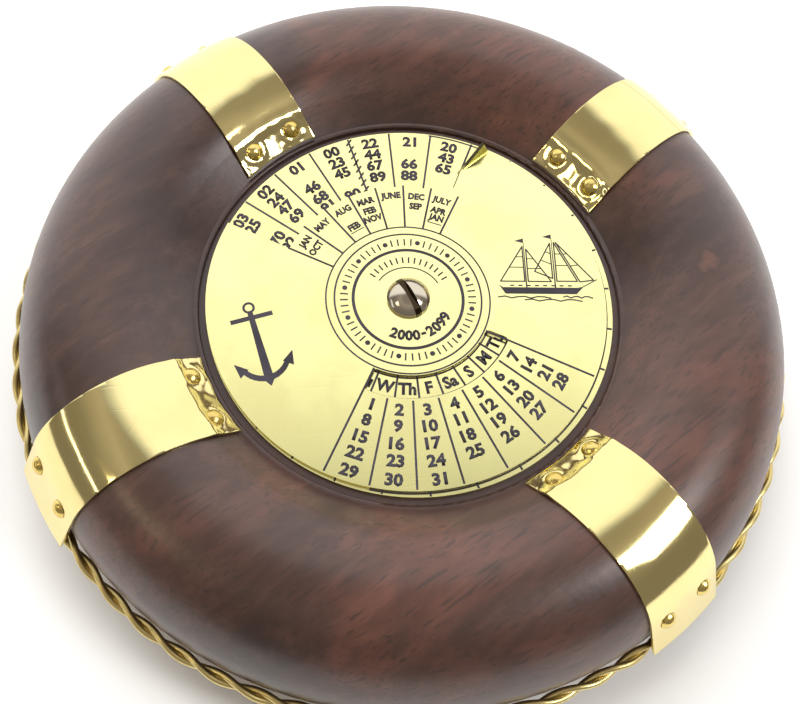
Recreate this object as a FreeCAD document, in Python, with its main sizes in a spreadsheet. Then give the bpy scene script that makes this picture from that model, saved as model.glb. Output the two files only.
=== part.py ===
import FreeCAD, Part
import math
import os
import Sketcher

# Perpetual desk calendar: two etched brass dials in a turned hardwood ring
# with four brass straps, domed pins and a twisted brass wire rope.
# Millimetres, +Z up. The origin is the centre of the base, on the desk.
# The viewer sits at -Y. Angles are azimuths from +X, counter-clockwise.

V = FreeCAD.Vector
UP = V(0, 0, 1)
SAME_PLACE = 1e-4

SIZES = {
    # turned ring
    "ring_mid_radius": 56.9,
    "ring_tube_radius": 17.1,
    "ring_base_depth": 13.0,
    "flank_start_angle": 130.0,
    "ring_edge_round": 0.5,
    # felt pad
    "felt_thickness": 1.0,
    "felt_margin": 3.0,
    # dial recess
    "dial_floor_rise": 8.0,
    "ledge_rise": 0.9,
    "ledge_width": 0.9,
    "recess_clearance": 1.36,
    # dials
    "dial_radius_step": 0.64,
    "dial_sheet": 0.7,
    "dial_spacing": 0.1,
    "pivot_offset_x": -0.7,
    "pivot_offset_y": 0.1,
    # year window, open at the rim
    "window_right_angle": 78.4,
    "window_left_angle": 165.0,
    "window_inner_radius": 24.9,
    "window_corner": 2.6,
    # weekday slot
    "slot_start_angle": 254.6,
    "slot_end_angle": 346.4,
    "slot_inner_radius": 15.9,
    "slot_outer_radius": 20.5,
    "slot_corner": 0.9,
    # finger tab, a corner of the front dial bent up
    "tab_rim_angle": 72.5,
    "tab_edge": 7.5,
    "tab_bend_angle": 84.0,
    # pivot screw, spacer and nut
    "screw_radius": 2.0,
    "screw_length": 6.8,
    "screw_head_radius": 4.1,
    "screw_head_height": 2.5,
    "screw_head_rim": 0.6,
    "screw_seat_gap": 0.05,
    "running_clearance": 0.05,
    "drill_lead": 1.0,
    "driver_slot_width": 1.3,
    "driver_slot_depth": 1.1,
    "driver_slot_angle": 128.0,
    "spacer_radius": 7.0,
    "nut_width": 7.0,
    "nut_height": 3.2,
    "nut_pocket_clearance": 1.0,
    "nut_pocket_depth": 6.2,
    # straps
    "strap_width": 16.3,
    "strap_sheet": 0.55,
    "strap_gap": 0.15,
    "strap_end_clearance": 0.53,
    "strap_rope_clearance": 0.57,
    "strap_lip_shortfall": 0.57,
    "nw_strap_angle": 138.4,
    "ne_strap_angle": 50.0,
    "sw_strap_angle": 219.0,
    "se_strap_angle": 319.0,
    # pins
    "pin_edge_distance": 3.65,
    "pin_head_radius": 1.7,
    "pin_head_height": 1.0,
    "pin_shank_radius": 0.6,
    "pin_shank_length": 7.0,
    "pin_point_length": 1.2,
    "pin_head_gap": 0.05,
    "pin_tip_room": 0.5,
    "inner_pin_distance": 2.7,
    "outer_pin_distance": 1.6,
    # wire rope
    "rope_radius": 1.3,
    "rope_gap": 0.15,
    "rope_angle": -9.0,
}

# what follows from the driving sizes; heights are above the desk
WORKED_OUT = {
    "tube_height": "felt_thickness + ring_base_depth",
    "floor_height": "tube_height + dial_floor_rise",
    "ledge_height": "floor_height + ledge_rise",
    "rear_dial_top": "floor_height + dial_sheet",
    "front_dial_bottom": "rear_dial_top + dial_spacing",
    "front_dial_top": "front_dial_bottom + dial_sheet",
    "screw_seat_height": "front_dial_top + screw_seat_gap",
    "base_half_width": "sqrt(ring_tube_radius^2 - ring_base_depth^2)",
    "felt_radius": "ring_mid_radius + base_half_width - felt_margin",
    "pivot_hole_radius": "screw_radius + running_clearance",
    "nut_corner_radius": "nut_width / 2 / cos(30 deg)",
    "nut_pocket_radius": "nut_corner_radius + nut_pocket_clearance",
    "pin_hole_radius": "pin_shank_radius + running_clearance",
    "pin_half_pitch": "strap_width / 2 - pin_edge_distance",
    "crease_height": "tube_height + ring_tube_radius * sin(flank_start_angle * 1 deg)",
    "flank_length": "(crease_height - ledge_height) / sin((flank_start_angle - 90) * 1 deg)",
    "crease_radius": "ring_mid_radius + ring_tube_radius * cos(flank_start_angle * 1 deg)",
    "foot_radius": "crease_radius - flank_length * cos((flank_start_angle - 90) * 1 deg)",
    "recess_radius": "foot_radius - ledge_width",
    "rear_dial_radius": "recess_radius - recess_clearance",
    "front_dial_radius": "rear_dial_radius - dial_radius_step",
    "strap_inner_length": "flank_length - strap_end_clearance",
    "strap_inside": "ring_tube_radius + strap_gap",
    "strap_outside": "strap_inside + strap_sheet",
    "rope_reach": "ring_tube_radius + rope_gap + rope_radius",
    "rope_ring_radius": "ring_mid_radius + rope_reach * cos(rope_angle * 1 deg)",
    "rope_height": "tube_height + rope_reach * sin(rope_angle * 1 deg)",
    "lip_turn": "acos((strap_inside - rope_radius - strap_rope_clearance) / rope_reach) / 1 deg",
    "strap_lip_angle": "rope_angle + lip_turn",
    "strap_lip_length": "rope_reach * sin(lip_turn * 1 deg) - strap_lip_shortfall",
    "tab_root_radius": "front_dial_radius - tab_edge",
    "tab_root_x": "tab_root_radius * cos(window_right_angle * 1 deg)",
    "tab_root_y": "tab_root_radius * sin(window_right_angle * 1 deg)",
    "tab_span_x": "front_dial_radius * cos(tab_rim_angle * 1 deg) - tab_root_x",
    "tab_span_y": "front_dial_radius * sin(tab_rim_angle * 1 deg) - tab_root_y",
    "tab_width": "sqrt(tab_span_x^2 + tab_span_y^2)",
    "tab_turn": "window_right_angle - atan2(tab_span_y; tab_span_x) / 1 deg",
    "tab_tip_run": "tab_edge * cos(tab_turn * 1 deg)",
    "tab_tip_rise": "tab_edge * sin(tab_turn * 1 deg) + dial_sheet",
}

doc = FreeCAD.newDocument("desk_calendar")
sheet = doc.addObject("Spreadsheet::Sheet", "sizes")


def fill_sheet():
    rows = [(alias, str(value)) for alias, value in SIZES.items()]
    rows += [(alias, "=" + formula) for alias, formula in WORKED_OUT.items()]
    for row, (alias, text) in enumerate(rows, start=1):
        sheet.set("A%d" % row, alias)
        sheet.set("B%d" % row, text)
        sheet.setAlias("B%d" % row, alias)
    doc.recompute()


fill_sheet()


def size(alias):
    return float(sheet.get(alias))


def worth(expression):
    """What an expression on the sheet comes to, in millimetres or degrees."""
    return float(sheet.evalExpression(expression))


def bind(target, prop, expression):
    target.setExpression(prop, expression)


PIVOT = V(size("pivot_offset_x"), size("pivot_offset_y"), 0)
STRAP_ANGLES = {side: size(side + "_strap_angle") for side in ("nw", "ne", "sw", "se")}


def polar(radius, degrees, z=0.0):
    turn = math.radians(degrees)
    return V(radius * math.cos(turn), radius * math.sin(turn), z)


def new_body(name):
    body = doc.addObject("PartDesign::Body", name)
    body.Label = name
    return body


def new_sketch(body, name, role="XY_Plane"):
    planes = [item for item in body.Origin.OriginFeatures if item.Role == role]
    sketch = body.newObject("Sketcher::SketchObject", name)
    sketch.AttachmentSupport = (planes[0], [""])
    sketch.MapMode = "FlatFace"
    return sketch


def constrain(sketch, kind, *places):
    return sketch.addConstraint(Sketcher.Constraint(kind, *places))


def drive(sketch, name, expression, kind, *places):
    """A dimension that follows an expression; angles are given in degrees."""
    value = worth(expression)
    if kind == "Angle":
        value = math.radians(value)
        expression = "(" + expression + ") * 1 deg"
    index = constrain(sketch, kind, *places, value)
    sketch.renameConstraint(index, name)
    bind(sketch, "Constraints." + name, expression)


def line(sketch, start, end):
    return sketch.addGeometry(Part.LineSegment(start, end), False)


def arc(sketch, centre, radius, start_degrees, end_degrees):
    circle = Part.Circle(centre, UP, radius)
    bow = Part.ArcOfCircle(circle, math.radians(start_degrees), math.radians(end_degrees))
    return sketch.addGeometry(bow, False)


def join(sketch, first, first_end, second, second_end):
    constrain(sketch, "Coincident", first, first_end, second, second_end)


def level(sketch, *lines):
    for item in lines:
        constrain(sketch, "Horizontal", item)


def upright(sketch, *lines):
    for item in lines:
        constrain(sketch, "Vertical", item)


def revolve(body, sketch, degrees=360.0):
    turned = body.newObject("PartDesign::Revolution", body.Name + "_turned")
    turned.Profile = sketch
    turned.ReferenceAxis = (sketch, ["V_Axis"])
    turned.Angle = degrees
    turned.Midplane = degrees < 360.0
    doc.recompute()
    return turned


def pad(body, sketch, length_text, name, back=False):
    raised = body.newObject("PartDesign::Pad", name)
    raised.Profile = sketch
    bind(raised, "Length", length_text)
    raised.Reversed = back
    doc.recompute()
    return raised


def cut_through(body, sketch, name):
    before = body.Shape.Volume
    pocket = body.newObject("PartDesign::Pocket", name)
    pocket.Profile = sketch
    pocket.Type = "ThroughAll"
    pocket.Midplane = True
    doc.recompute()
    if not body.Shape.Volume < before:
        raise RuntimeError(name + " removes nothing")
    return pocket


def round_edges(body, edge_names, radius_text, name):
    base = body.Tip
    before = body.Shape.Volume
    fillet = body.newObject("PartDesign::Fillet", name)
    fillet.Base = (base, edge_names)
    bind(fillet, "Radius", radius_text)
    doc.recompute()
    if abs(body.Shape.Volume - before) < 1e-9:
        raise RuntimeError(name + " rounds nothing")
    return fillet


def circle_edges(shape, radius, height):
    """Names of the level circular edges with this radius and height."""
    found = []
    for number, edge in enumerate(shape.Edges, start=1):
        if not isinstance(edge.Curve, Part.Circle):
            continue
        apart = abs(edge.Curve.Center.z - height) + abs(edge.Curve.Radius - radius)
        if apart < SAME_PLACE:
            found.append("Edge%d" % number)
    return found


def upright_edge(shape, radius, degrees):
    """Name of the straight upright edge nearest to a polar place."""
    place = polar(radius, degrees)
    found = []
    for number, edge in enumerate(shape.Edges, start=1):
        ends = [vertex.Point for vertex in edge.Vertexes]
        if len(ends) != 2 or math.hypot(ends[0].x - ends[1].x, ends[0].y - ends[1].y) > SAME_PLACE:
            continue
        apart = math.hypot(ends[0].x - place.x, ends[0].y - place.y)
        found.append((apart, "Edge%d" % number))
    return [min(found)[1]]


def sector(body, name, inner, outer, start, end):
    """A sketch of a ring sector about the body's own centre; each limit is an expression."""
    sketch = new_sketch(body, name)
    r0, r1, a0, a1 = [worth(text) for text in (inner, outer, start, end)]
    far = arc(sketch, V(0, 0, 0), r1, a0, a1)
    near = arc(sketch, V(0, 0, 0), r0, a0, a1)
    first = line(sketch, polar(r0, a0), polar(r1, a0))
    last = line(sketch, polar(r0, a1), polar(r1, a1))
    join(sketch, far, 3, -1, 1)
    join(sketch, near, 3, -1, 1)
    join(sketch, first, 1, near, 1)
    join(sketch, first, 2, far, 1)
    join(sketch, last, 1, near, 2)
    join(sketch, last, 2, far, 2)
    constrain(sketch, "PointOnObject", -1, 1, first)
    constrain(sketch, "PointOnObject", -1, 1, last)
    drive(sketch, "near_radius", inner, "Radius", near)
    drive(sketch, "far_radius", outer, "Radius", far)
    drive(sketch, "start_angle", start, "Angle", first)
    drive(sketch, "end_angle", end, "Angle", last)
    doc.recompute()
    return sketch


def wood_section(body):
    """Half section of the ring: flat base, round tube, inner flank, ledge, recess and floor."""
    sketch = new_sketch(body, "wood_section", "XZ_Plane")
    middle = size("ring_mid_radius")
    tube = size("ring_tube_radius")
    centre = V(middle, size("tube_height"), 0)
    base_angle = math.degrees(math.asin(size("ring_base_depth") / tube))
    flank = size("flank_start_angle")
    base = size("felt_thickness")
    ledge = size("ledge_height")
    level_floor = size("floor_height")
    recess = size("recess_radius")
    start = centre + polar(tube, -base_angle)
    crease = centre + polar(tube, flank)
    foot = crease + polar(size("flank_length"), flank + 90)
    round_back = arc(sketch, centre, tube, -base_angle, flank)
    bottom = line(sketch, V(0, base, 0), start)
    slope = line(sketch, crease, foot)
    shelf = line(sketch, foot, V(recess, ledge, 0))
    wall = line(sketch, V(recess, ledge, 0), V(recess, level_floor, 0))
    floor = line(sketch, V(recess, level_floor, 0), V(0, level_floor, 0))
    axis = line(sketch, V(0, level_floor, 0), V(0, base, 0))
    join(sketch, bottom, 2, round_back, 1)
    join(sketch, slope, 2, shelf, 1)
    join(sketch, shelf, 2, wall, 1)
    join(sketch, wall, 2, floor, 1)
    join(sketch, floor, 2, axis, 1)
    join(sketch, axis, 2, bottom, 1)
    constrain(sketch, "Tangent", round_back, 2, slope, 1)
    level(sketch, bottom, shelf, floor)
    upright(sketch, wall)
    constrain(sketch, "PointOnObject", floor, 2, -2)
    constrain(sketch, "PointOnObject", bottom, 1, -2)
    drive(sketch, "tube_radius", "sizes.ring_tube_radius", "Radius", round_back)
    drive(sketch, "middle", "sizes.ring_mid_radius", "DistanceX", -1, 1, round_back, 3)
    drive(sketch, "tube_height", "sizes.tube_height", "DistanceY", -1, 1, round_back, 3)
    drive(sketch, "base", "sizes.felt_thickness", "DistanceY", -1, 1, bottom, 1)
    drive(sketch, "floor", "sizes.floor_height", "DistanceY", -1, 1, floor, 2)
    drive(sketch, "ledge", "sizes.ledge_rise", "DistanceY", wall, 2, wall, 1)
    drive(sketch, "recess", "sizes.recess_radius", "DistanceX", -1, 1, wall, 1)
    drive(sketch, "flank", "sizes.flank_start_angle + 90", "Angle", slope)
    doc.recompute()
    return sketch


def profile_place(base_angle, distance, offset):
    """A place in the meridian plane of the ring, measured on a tangent of its tube.

    The tangent leaves the tube at base_angle and runs away from the crest.
    Returns the place as (radius, height), and its outward normal angle.
    """
    reach = size("ring_tube_radius") + offset
    side = 1 if base_angle > 90 else -1
    place = V(size("ring_mid_radius"), size("tube_height"), 0) + polar(reach, base_angle)
    return place + polar(distance, base_angle + side * 90), base_angle


def pin_placements(strap_angle, base_angle, distance):
    """Two pins of a strap end, each square to the sheet, head underside at the origin."""
    seat = size("strap_gap") + size("strap_sheet") + size("pin_head_gap")
    place, normal = profile_place(base_angle, distance, seat)
    spread = math.degrees(math.asin(size("pin_half_pitch") / place.x))
    result = []
    for side in (-1, 1):
        turn = FreeCAD.Rotation(UP, strap_angle + side * spread)
        tilt = FreeCAD.Rotation(V(0, 1, 0), 90 - normal)
        result.append(FreeCAD.Placement(turn.multVec(V(place.x, 0, place.y)), turn.multiply(tilt)))
    return result


def all_pin_places():
    """Pin placements for each strap side and end."""
    ends = {
        "inner": (size("flank_start_angle"), size("inner_pin_distance")),
        "outer": (size("strap_lip_angle"), size("outer_pin_distance")),
    }
    places = {}
    for side, strap_angle in STRAP_ANGLES.items():
        for end, (base_angle, distance) in ends.items():
            places[end, side] = pin_placements(strap_angle, base_angle, distance)
    return places


PIN_PLACES = all_pin_places()


def drill(body, name, placement, radius_text, depth_text):
    """A round hole along the placement's own -Z, starting a lead above its origin."""
    bit = body.newObject("PartDesign::SubtractiveCylinder", name)
    bind(bit, "Radius", radius_text)
    bind(bit, "Height", "sizes.drill_lead + " + depth_text)
    doc.recompute()
    flip = FreeCAD.Rotation(V(1, 0, 0), 180)
    start = placement.Base + placement.Rotation.multVec(V(0, 0, size("drill_lead")))
    bit.Placement = FreeCAD.Placement(start, placement.Rotation.multiply(flip))
    doc.recompute()


def wood_ring():
    body = new_body("wood_ring")
    revolve(body, wood_section(body))
    base_radius = size("ring_mid_radius") + size("base_half_width")
    rounded = circle_edges(body.Shape, size("recess_radius"), size("ledge_height"))
    rounded += circle_edges(body.Shape, base_radius, size("felt_thickness"))
    round_edges(body, rounded, "sizes.ring_edge_round", "ring_edges_rounded")
    top = FreeCAD.Placement(PIVOT + V(0, 0, size("floor_height")), FreeCAD.Rotation())
    drill(body, "nut_pocket", top, "sizes.nut_pocket_radius", "sizes.nut_pocket_depth")
    for (end, side), pair in PIN_PLACES.items():
        for number, place in enumerate(pair, start=1):
            drill(body, "pilot_%s_%s_%d" % (end, side, number), place, "sizes.pin_hole_radius",
                  "sizes.pin_shank_length + sizes.pin_tip_room")
    return body


def felt_base():
    pad_disc = doc.addObject("Part::Cylinder", "felt_base")
    bind(pad_disc, "Radius", "sizes.felt_radius")
    bind(pad_disc, "Height", "sizes.felt_thickness")
    return pad_disc


def ring_disc(name, outer, thickness, height, outer_at_pivot):
    """A flat disc with the pivot's hole through it, made of expressions on the sheet."""
    disc = doc.addObject("Part::Cylinder", name + "_disc")
    hole = doc.addObject("Part::Cylinder", name + "_hole")
    bind(disc, "Radius", outer)
    bind(hole, "Radius", "sizes.pivot_hole_radius")
    for piece in (disc, hole):
        bind(piece, "Height", thickness)
        bind(piece, "Placement.Base.z", height)
    for piece in ((disc, hole) if outer_at_pivot else (hole,)):
        centre_on_pivot(piece)
    ring = doc.addObject("Part::Cut", name)
    ring.Base = disc
    ring.Tool = hole
    return ring


def centre_on_pivot(piece):
    bind(piece, "Placement.Base.x", "sizes.pivot_offset_x")
    bind(piece, "Placement.Base.y", "sizes.pivot_offset_y")


def rear_dial():
    return ring_disc("rear_dial", "sizes.rear_dial_radius", "sizes.dial_sheet",
                     "sizes.floor_height", outer_at_pivot=False)


def spacer_washer():
    return ring_disc("spacer_washer", "sizes.spacer_radius", "sizes.dial_spacing",
                     "sizes.rear_dial_top", outer_at_pivot=True)


def polygon(sketch, corners):
    """A closed polygon; each corner is two expressions, its distances from the origin."""
    places = [V(worth(across), worth(up), 0) for across, up in corners]
    count = len(corners)
    for index in range(count):
        line(sketch, places[index], places[(index + 1) % count])
    for index, (across, up) in enumerate(corners):
        join(sketch, index, 2, (index + 1) % count, 1)
        drive(sketch, "across_%d" % index, across, "DistanceX", -1, 1, index, 1)
        drive(sketch, "up_%d" % index, up, "DistanceY", -1, 1, index, 1)
    doc.recompute()


def front_dial():
    body = new_body("front_dial")
    outline = new_sketch(body, "front_outline")
    outline.addGeometry(Part.Circle(V(0, 0, 0), UP, size("front_dial_radius")), False)
    outline.addGeometry(Part.Circle(V(0, 0, 0), UP, size("screw_radius")), False)
    join(outline, 0, 3, -1, 1)
    join(outline, 1, 3, -1, 1)
    drive(outline, "rim", "sizes.front_dial_radius", "Radius", 0)
    drive(outline, "hole", "sizes.pivot_hole_radius", "Radius", 1)
    doc.recompute()
    pad(body, outline, "sizes.dial_sheet", "front_sheet")
    window = sector(body, "year_window", "sizes.window_inner_radius", "sizes.front_dial_radius * 1.1",
                    "sizes.window_right_angle", "sizes.window_left_angle")
    cut_through(body, window, "year_window_cut")
    corner = upright_edge(body.Shape, size("window_inner_radius"), size("window_right_angle"))
    round_edges(body, corner, "sizes.window_corner", "window_corner_rounded")
    slot = sector(body, "weekday_slot", "sizes.slot_inner_radius", "sizes.slot_outer_radius",
                  "sizes.slot_start_angle", "sizes.slot_end_angle")
    cut_through(body, slot, "weekday_slot_cut")
    for radius in ("slot_inner_radius", "slot_outer_radius"):
        for angle in ("slot_start_angle", "slot_end_angle"):
            corner = upright_edge(body.Shape, size(radius), size(angle))
            round_edges(body, corner, "sizes.slot_corner", "%s_%s_corner" % (radius, angle))
    bend_up_tab(body)
    centre_on_pivot(body)
    bind(body, "Placement.Base.z", "sizes.front_dial_bottom")
    return body


def tab_placement(tilt_degrees):
    """The tab's own frame: X along its bend line from the root, Y across it, tilted up."""
    root = V(size("tab_root_x"), size("tab_root_y"), 0)
    along = V(size("tab_span_x"), size("tab_span_y"), 0).normalize()
    across = V(-along.y, along.x, 0)
    tilt = math.radians(tilt_degrees)
    rise = across * math.cos(tilt) + UP * math.sin(tilt)
    return FreeCAD.Placement(root, FreeCAD.Rotation(along, rise, along.cross(rise), "XYZ"))


def bend_up_tab(body):
    """The corner beside the window, cut off past its bend line and raised as a finger tab."""
    trim = new_sketch(body, "tab_trim")
    trim.AttachmentOffset = tab_placement(0)
    near = "sizes.dial_sheet / 2"
    far = "sizes.tab_edge"
    before = "-sizes.tab_edge / 4"
    after = "sizes.tab_width + sizes.tab_edge / 4"
    polygon(trim, [(before, near), (after, near), (after, far), (before, far)])
    cut_through(body, trim, "tab_corner_cut")
    flap = new_sketch(body, "tab_flap")
    flap.AttachmentOffset = tab_placement(size("tab_bend_angle"))
    polygon(flap, [("0", "0"), ("sizes.tab_width", "0"), ("sizes.tab_tip_run", "sizes.tab_tip_rise")])
    pad(body, flap, "sizes.dial_sheet", "tab_raised", back=True)


def pivot_screw():
    body = new_body("pivot_screw")
    sketch = new_sketch(body, "screw_section", "XZ_Plane")
    seat = size("screw_seat_height")
    shank = size("screw_radius")
    head = size("screw_head_radius")
    rise = size("screw_head_height")
    tip = seat - size("screw_length")
    rim = size("screw_head_rim")
    ball = (head ** 2 + (rise - rim) ** 2) / (2 * (rise - rim))
    centre = V(0, seat + rise - ball, 0)
    start = math.degrees(math.atan2(seat + rim - centre.y, head))
    dome = arc(sketch, centre, ball, start, 90)
    axis = line(sketch, V(0, seat + rise, 0), V(0, tip, 0))
    end = line(sketch, V(0, tip, 0), V(shank, tip, 0))
    side = line(sketch, V(shank, tip, 0), V(shank, seat, 0))
    under = line(sketch, V(shank, seat, 0), V(head, seat, 0))
    edge = line(sketch, V(head, seat, 0), V(head, seat + rim, 0))
    join(sketch, axis, 2, end, 1)
    join(sketch, end, 2, side, 1)
    join(sketch, side, 2, under, 1)
    join(sketch, under, 2, edge, 1)
    join(sketch, edge, 2, dome, 1)
    join(sketch, dome, 2, axis, 1)
    level(sketch, end, under)
    upright(sketch, side, edge)
    constrain(sketch, "PointOnObject", axis, 1, -2)
    constrain(sketch, "PointOnObject", axis, 2, -2)
    constrain(sketch, "PointOnObject", dome, 3, -2)
    drive(sketch, "shank", "sizes.screw_radius", "DistanceX", -1, 1, side, 1)
    drive(sketch, "head", "sizes.screw_head_radius", "DistanceX", -1, 1, edge, 1)
    drive(sketch, "seat", "sizes.screw_seat_height", "DistanceY", -1, 1, side, 2)
    drive(sketch, "length", "sizes.screw_length", "DistanceY", side, 1, side, 2)
    drive(sketch, "rise", "sizes.screw_head_height", "DistanceY", under, 2, dome, 2)
    drive(sketch, "rim", "sizes.screw_head_rim", "DistanceY", edge, 1, edge, 2)
    doc.recompute()
    revolve(body, sketch)
    slot = new_sketch(body, "driver_slot")
    bind(slot, "AttachmentOffset.Base.z", "sizes.screw_seat_height + sizes.screw_head_height")
    half = "sizes.driver_slot_width / 2"
    reach = "sizes.screw_head_radius * 1.2"
    polygon(slot, [("-" + reach, "-" + half), (reach, "-" + half), (reach, half), ("-" + reach, half)])
    before = body.Shape.Volume
    pocket = body.newObject("PartDesign::Pocket", "driver_slot_cut")
    pocket.Profile = slot
    bind(pocket, "Length", "sizes.driver_slot_depth")
    doc.recompute()
    if not body.Shape.Volume < before:
        raise RuntimeError("the driver slot removes nothing")
    body.Placement = FreeCAD.Placement(PIVOT, FreeCAD.Rotation(UP, size("driver_slot_angle")))
    centre_on_pivot(body)
    return body


def pivot_nut():
    block = doc.addObject("Part::Prism", "nut_block")
    block.Polygon = 6
    bore = doc.addObject("Part::Cylinder", "nut_bore")
    bind(block, "Circumradius", "sizes.nut_corner_radius")
    bind(bore, "Radius", "sizes.pivot_hole_radius")
    for piece in (block, bore):
        centre_on_pivot(piece)
        bind(piece, "Height", "sizes.nut_height")
        bind(piece, "Placement.Base.z", "sizes.floor_height - sizes.nut_height")
    nut = doc.addObject("Part::Cut", "pivot_nut")
    nut.Base = block
    nut.Tool = bore
    return nut


def strap_section(body):
    """The strap's sheet in its middle plane: flat inner end, bow over the tube, flat outer lip."""
    sketch = new_sketch(body, body.Name + "_section", "XZ_Plane")
    centre = V(size("ring_mid_radius"), size("tube_height"), 0)
    inside = size("strap_inside")
    outside = size("strap_outside")
    lip = size("strap_lip_angle")
    crease = size("flank_start_angle")
    inner_run = polar(size("strap_inner_length"), crease + 90)
    lip_run = polar(size("strap_lip_length"), lip - 90)
    lower = arc(sketch, centre, inside, lip, crease)
    upper = arc(sketch, centre, outside, lip, crease)
    ends = {}
    for side, angle, run, point in (("lip", lip, lip_run, 1), ("inner", crease, inner_run, 2)):
        near = centre + polar(inside, angle)
        far = centre + polar(outside, angle)
        below = line(sketch, near, near + run)
        above = line(sketch, far, far + run)
        cap = line(sketch, near + run, far + run)
        constrain(sketch, "Tangent", lower, point, below, 1)
        constrain(sketch, "Tangent", upper, point, above, 1)
        join(sketch, below, 2, cap, 1)
        join(sketch, above, 2, cap, 2)
        constrain(sketch, "Perpendicular", below, cap)
        ends[side] = below
    join(sketch, lower, 3, upper, 3)
    drive(sketch, "inside", "sizes.strap_inside", "Radius", lower)
    drive(sketch, "outside", "sizes.strap_outside", "Radius", upper)
    drive(sketch, "middle", "sizes.ring_mid_radius", "DistanceX", -1, 1, lower, 3)
    drive(sketch, "tube_height", "sizes.tube_height", "DistanceY", -1, 1, lower, 3)
    drive(sketch, "lip_length", "sizes.strap_lip_length", "Distance", ends["lip"])
    drive(sketch, "inner_length", "sizes.strap_inner_length", "Distance", ends["inner"])
    drive(sketch, "lip_angle", "sizes.strap_lip_angle - 90", "Angle", ends["lip"])
    drive(sketch, "crease_angle", "sizes.flank_start_angle + 90", "Angle", ends["inner"])
    doc.recompute()
    return sketch


def brass_strap(side):
    body = new_body("brass_strap_" + side)
    revolve(body, strap_section(body), 50.0)
    half = "sizes.strap_width / 2"
    reach = "(sizes.ring_mid_radius + 2 * sizes.ring_tube_radius)"
    for name, near, far in (("left", half, reach), ("right", "-" + reach, "-" + half)):
        trim = new_sketch(body, "%s_%s_trim" % (body.Name, name))
        polygon(trim, [("0", near), (reach, near), (reach, far), ("0", far)])
        cut_through(body, trim, "%s_%s_edge" % (body.Name, name))
    angle = STRAP_ANGLES[side]
    home = FreeCAD.Placement(V(0, 0, 0), FreeCAD.Rotation(UP, angle))
    for end in ("inner", "outer"):
        for number, place in enumerate(PIN_PLACES[end, side], start=1):
            own = home.inverse().multiply(place)
            drill(body, "%s_%s_hole_%d" % (body.Name, end, number), own, "sizes.pin_hole_radius",
                  "2 * sizes.strap_sheet")
    body.Placement = home
    return body


def pin_section():
    """Half section of a domed pin, with the underside of its head at the origin."""
    sketch = doc.addObject("Sketcher::SketchObject", "pin_section")
    sketch.Placement = FreeCAD.Placement(V(0, 0, 0), FreeCAD.Rotation(V(1, 0, 0), 90))
    head = size("pin_head_radius")
    rise = size("pin_head_height")
    shank = size("pin_shank_radius")
    depth = size("pin_shank_length")
    point = size("pin_point_length")
    ball = (head ** 2 + rise ** 2) / (2 * rise)
    centre = V(0, rise - ball, 0)
    start = math.degrees(math.atan2(-centre.y, head))
    dome = arc(sketch, centre, ball, start, 90)
    axis = line(sketch, V(0, rise, 0), V(0, -depth, 0))
    taper = line(sketch, V(0, -depth, 0), V(shank, point - depth, 0))
    side = line(sketch, V(shank, point - depth, 0), V(shank, 0, 0))
    under = line(sketch, V(shank, 0, 0), V(head, 0, 0))
    join(sketch, dome, 2, axis, 1)
    join(sketch, axis, 2, taper, 1)
    join(sketch, taper, 2, side, 1)
    join(sketch, side, 2, under, 1)
    join(sketch, under, 2, dome, 1)
    upright(sketch, side)
    level(sketch, under)
    constrain(sketch, "PointOnObject", axis, 1, -2)
    constrain(sketch, "PointOnObject", axis, 2, -2)
    constrain(sketch, "PointOnObject", dome, 3, -2)
    constrain(sketch, "PointOnObject", under, 1, -1)
    drive(sketch, "shank", "sizes.pin_shank_radius", "DistanceX", -1, 1, side, 2)
    drive(sketch, "head", "sizes.pin_head_radius", "DistanceX", -1, 1, under, 2)
    drive(sketch, "rise", "sizes.pin_head_height", "DistanceY", -1, 1, dome, 2)
    drive(sketch, "depth", "sizes.pin_shank_length", "DistanceY", axis, 2, -1, 1)
    drive(sketch, "point", "sizes.pin_point_length", "DistanceY", taper, 1, taper, 2)
    doc.recompute()
    return sketch


def pin_pair(section, end, side):
    name = "%s_pins_%s" % (end, side)
    pair = []
    for number, place in enumerate(PIN_PLACES[end, side], start=1):
        pin = doc.addObject("Part::Revolution", "%s_%d" % (name, number))
        pin.Source = section
        pin.Axis = UP
        pin.Angle = 360
        pin.Solid = True
        pin.Placement = place
        pair.append(pin)
    group = doc.addObject("Part::Compound", name)
    group.Links = pair
    return group


def wire_rope():
    """The rope's round envelope, lying against the tube under the strap lips."""
    rope = doc.addObject("Part::Torus", "wire_rope")
    bind(rope, "Radius1", "sizes.rope_ring_radius")
    bind(rope, "Radius2", "sizes.rope_radius")
    bind(rope, "Placement.Base.z", "sizes.rope_height")
    return rope


def build():
    nodes = [wood_ring(), felt_base(), rear_dial(), spacer_washer(), front_dial(), pivot_screw(),
             pivot_nut(), wire_rope()]
    section = pin_section()
    for side in STRAP_ANGLES:
        nodes.append(brass_strap(side))
        nodes.append(pin_pair(section, "inner", side))
        nodes.append(pin_pair(section, "outer", side))
    doc.recompute()
    return nodes


def check_and_write(nodes):
    for item in doc.Objects:
        if "Invalid" in item.State or "Error" in item.State:
            raise RuntimeError("%s is %s" % (item.Name, item.State))
    os.makedirs("parts", exist_ok=True)
    for node in nodes:
        node.Label = node.Name
        if node.Shape.isNull() or not node.Shape.isValid():
            raise RuntimeError(node.Name + " has no valid shape")
        print("%-18s solids %d volume %.2f" % (node.Name, len(node.Shape.Solids), node.Shape.Volume))
    for node in nodes:
        node.Shape.exportStep(os.path.join("parts", node.Name + ".step"))


check_and_write(build())
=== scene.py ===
import math

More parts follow.
